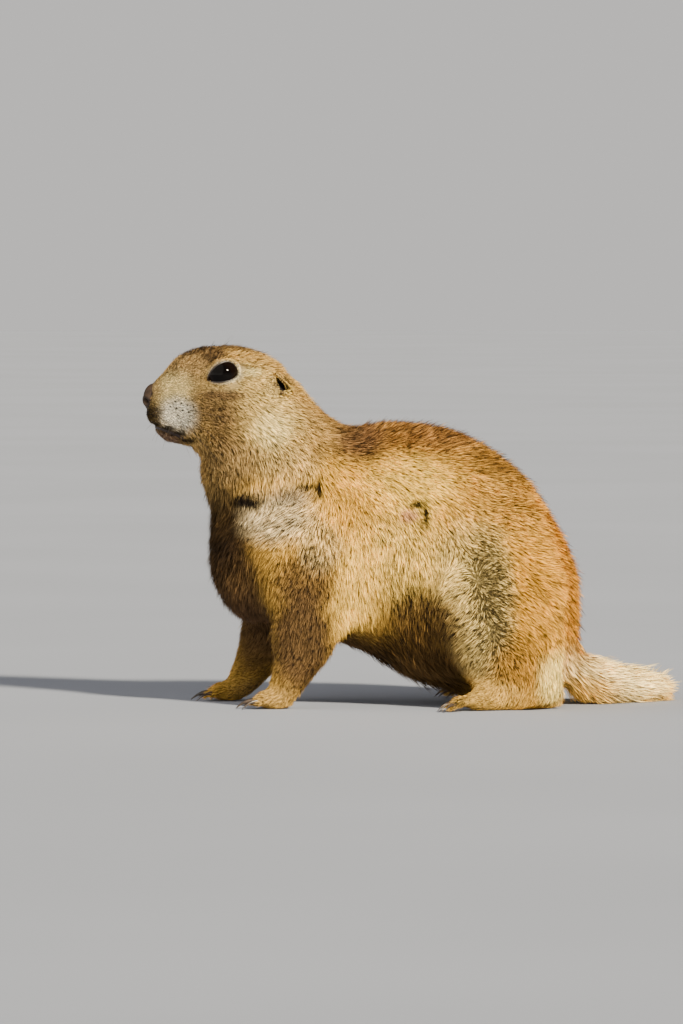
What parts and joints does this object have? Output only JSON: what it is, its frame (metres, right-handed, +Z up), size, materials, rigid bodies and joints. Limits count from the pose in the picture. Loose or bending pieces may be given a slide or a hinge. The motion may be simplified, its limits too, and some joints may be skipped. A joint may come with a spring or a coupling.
{
  "type": "prairie dog",
  "caption": "Life-size still prairie dog crouching on its haunches with its head raised, short pale tail laid on the floor.",
  "frame": {"origin": "on the floor, under the middle of the animal's box", "axes": "-X is the way the animal faces, -Y is its left side, +Z is up"},
  "size_m": [0.2216, 0.1128, 0.1517],
  "materials": {
    "coat": "golden-buff fur, rust along the back, black-tipped over flank and thigh",
    "face_fur": "short buff fur with a pale muzzle and a brown cheek patch",
    "tail_fur": "long pale cream fur",
    "paw": "short-furred feet with bare pads",
    "claw": "dark horn, half gloss",
    "nose_skin": "dark bare skin, slightly moist",
    "eye": "near-black, high gloss",
    "whisker": "fine dark hair"
  },
  "bodies": {
    "root": {"head": "face_fur", "ear_left": "face_fur", "ear_right": "face_fur", "eye_left": "eye", "eye_right": "eye", "nose": "nose_skin", "neck": "coat", "torso": "coat", "rump": "coat", "shoulder_left": "coat", "shoulder_right": "coat", "thigh_left": "coat", "thigh_right": "coat", "forearm_left": "coat", "forearm_right": "coat", "tail": "tail_fur", "forepaw_left": "paw", "forepaw_right": "paw", "hind_paw_left": "paw", "hind_paw_right": "paw"}
  },
  "joints": []
}
